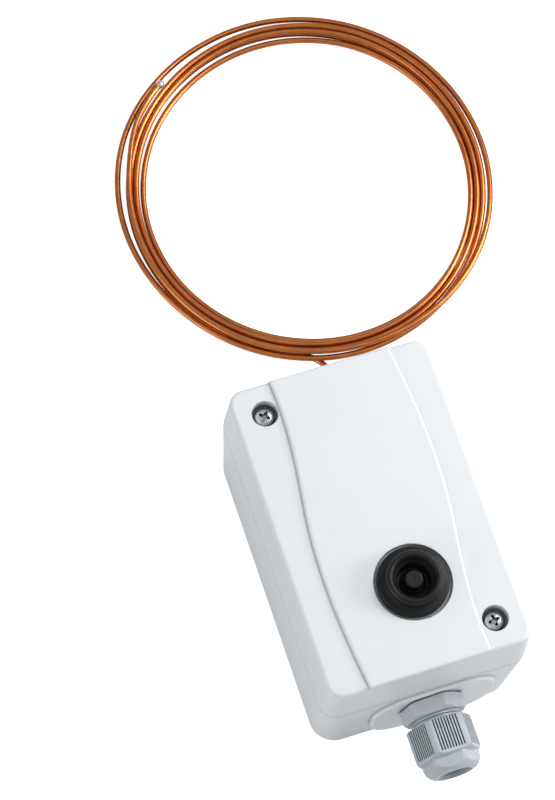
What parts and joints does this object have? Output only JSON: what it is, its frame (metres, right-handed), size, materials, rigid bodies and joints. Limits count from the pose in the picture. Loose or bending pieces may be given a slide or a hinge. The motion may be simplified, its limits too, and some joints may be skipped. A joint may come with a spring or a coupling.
{
  "type": "frost protection controller",
  "caption": "Frost protection controller in a white plastic wall case, with cable gland, capped reset button and a copper capillary tube wound in a loose coil.",
  "frame": {"origin": "centre of the four wall fixing holes, on the plane of the back face that lies against the wall", "axes": "+Z out of the wall towards the cover's face, +Y towards the end where the capillary tube leaves, -Y towards the cable gland"},
  "size_m": [0.1314, 0.2814, 0.0658],
  "materials": {
    "case_plastic": "satin",
    "gland_plastic": "satin",
    "black_rubber": "satin",
    "seal_rubber": "matte",
    "bright_steel": "polished",
    "spring_steel": "satin",
    "plated_sheet": "satin",
    "brass": "satin",
    "white_plastic": "satin",
    "red_plastic": "satin",
    "black_plastic": "satin",
    "copper": "satin",
    "solder": "satin"
  },
  "bodies": {
    "case": {"base": "case_plastic", "gland_body": "gland_plastic", "gland_flat_seal": "seal_rubber", "gland_locknut": "gland_plastic", "gland_clamping_cage": "gland_plastic", "gland_seal_bush": "black_rubber", "chassis": "plated_sheet", "chassis_screw_1": "bright_steel", "chassis_screw_2": "bright_steel", "chassis_screw_3": "bright_steel", "chassis_screw_4": "bright_steel", "earth_clamp": "brass", "earth_screw": "bright_steel", "pivot_pin": "bright_steel", "pivot_clip_left": "spring_steel", "pivot_clip_right": "spring_steel", "capsule_cup": "plated_sheet", "capsule_diaphragm": "plated_sheet", "capsule_lid": "plated_sheet", "bridge": "plated_sheet", "bridge_screw_left": "bright_steel", "bridge_screw_right": "bright_steel", "range_spring": "spring_steel", "switch_housing": "black_plastic", "switch_screw_left": "bright_steel", "switch_screw_right": "bright_steel", "terminal_clamp_1": "brass", "terminal_clamp_2": "brass", "terminal_clamp_3": "brass", "terminal_screw_1": "brass", "terminal_screw_2": "brass", "terminal_screw_3": "brass", "capillary_grommet": "black_rubber", "capillary_inner": "copper", "capillary_lead": "copper", "capillary_coil": "copper", "capillary_tip": "solder"},
    "cover": {"cover": "case_plastic", "cover_gasket": "seal_rubber", "reset_boot": "black_rubber", "boot_membrane": "black_rubber", "reset_guide": "white_plastic", "reset_spring": "spring_steel"},
    "cover_screw_upper": {"cover_screw_upper": "bright_steel"},
    "cover_screw_lower": {"cover_screw_lower": "bright_steel"},
    "reset_plunger": {"reset_button": "black_rubber", "reset_rod": "white_plastic", "reset_clip": "spring_steel"},
    "reset_pin": {"reset_pin": "red_plastic"},
    "lever": {"lever": "plated_sheet"},
    "capsule_stud": {"capsule_stud": "bright_steel"},
    "switch_plunger": {"switch_plunger": "white_plastic"},
    "setpoint": {"setpoint_spindle": "brass", "setpoint_knob": "white_plastic"},
    "spring_nut": {"spring_nut": "plated_sheet"},
    "gland_nut": {"gland_dome_nut": "gland_plastic"}
  },
  "joints": [
    {"name": "cover_lift", "type": "slide", "parent": "case", "child": "cover", "axis": [0, 0, 1], "range_m": [0, 0.065]},
    {"name": "cover_screw_upper_turn", "type": "hinge", "parent": "cover", "child": "cover_screw_upper", "pos_m": [-0.024, 0.043, 0.055], "axis": [0, 0, 1], "continuous": true},
    {"name": "cover_screw_lower_turn", "type": "hinge", "parent": "cover", "child": "cover_screw_lower", "pos_m": [0.024, -0.043, 0.055], "axis": [0, 0, 1], "continuous": true},
    {"name": "reset_press", "type": "slide", "parent": "cover", "child": "reset_plunger", "axis": [0, 0, -1], "range_m": [0, 0.0025], "stiffness_N_per_m": 1000, "springref_m": -0.003, "deforming": ["reset_spring", "boot_membrane"]},
    {"name": "reset_pin_slide", "type": "slide", "parent": "case", "child": "reset_pin", "axis": [0, 0, -1], "range_m": [0, 0.0025]},
    {"name": "lever_rock", "type": "hinge", "parent": "case", "child": "lever", "pos_m": [0.0028, 0.003, 0.0237], "axis": [1, 0, 0], "range_deg": [0, 2.5], "stiffness_Nm_per_rad": 0.05, "springref_deg": -5.73, "deforming": ["range_spring"]},
    {"name": "capsule_stud_lift", "type": "slide", "parent": "case", "child": "capsule_stud", "axis": [0, 0, 1], "range_m": [0, 0.00074]},
    {"name": "switch_plunger_press", "type": "slide", "parent": "case", "child": "switch_plunger", "axis": [0, 0, -1], "range_m": [0, 0.00085]},
    {"name": "setpoint_turn", "type": "hinge", "parent": "case", "child": "setpoint", "pos_m": [0.0028, 0.02, 0.045], "axis": [0, 0, 1], "range_deg": [-135, 135]},
    {"name": "spring_nut_slide", "type": "slide", "parent": "case", "child": "spring_nut", "axis": [0, 0, 1], "range_m": [-0.00187, 0.00187], "deforming": ["range_spring"]},
    {"name": "gland_nut_turn", "type": "hinge", "parent": "case", "child": "gland_nut", "pos_m": [0.0015, -0.0689, 0.0255], "axis": [0, 1, 0], "continuous": true}
  ],
  "couplings": [
    {"joint": "reset_pin_slide", "follows": "reset_press", "ratio": 0.9},
    {"joint": "lever_rock", "follows": "capsule_stud_lift", "rad_per_m": 58.824},
    {"joint": "switch_plunger_press", "follows": "capsule_stud_lift", "ratio": 1.0294},
    {"joint": "setpoint_turn", "follows": "spring_nut_slide", "rad_per_m": 1256.3}
  ]
}
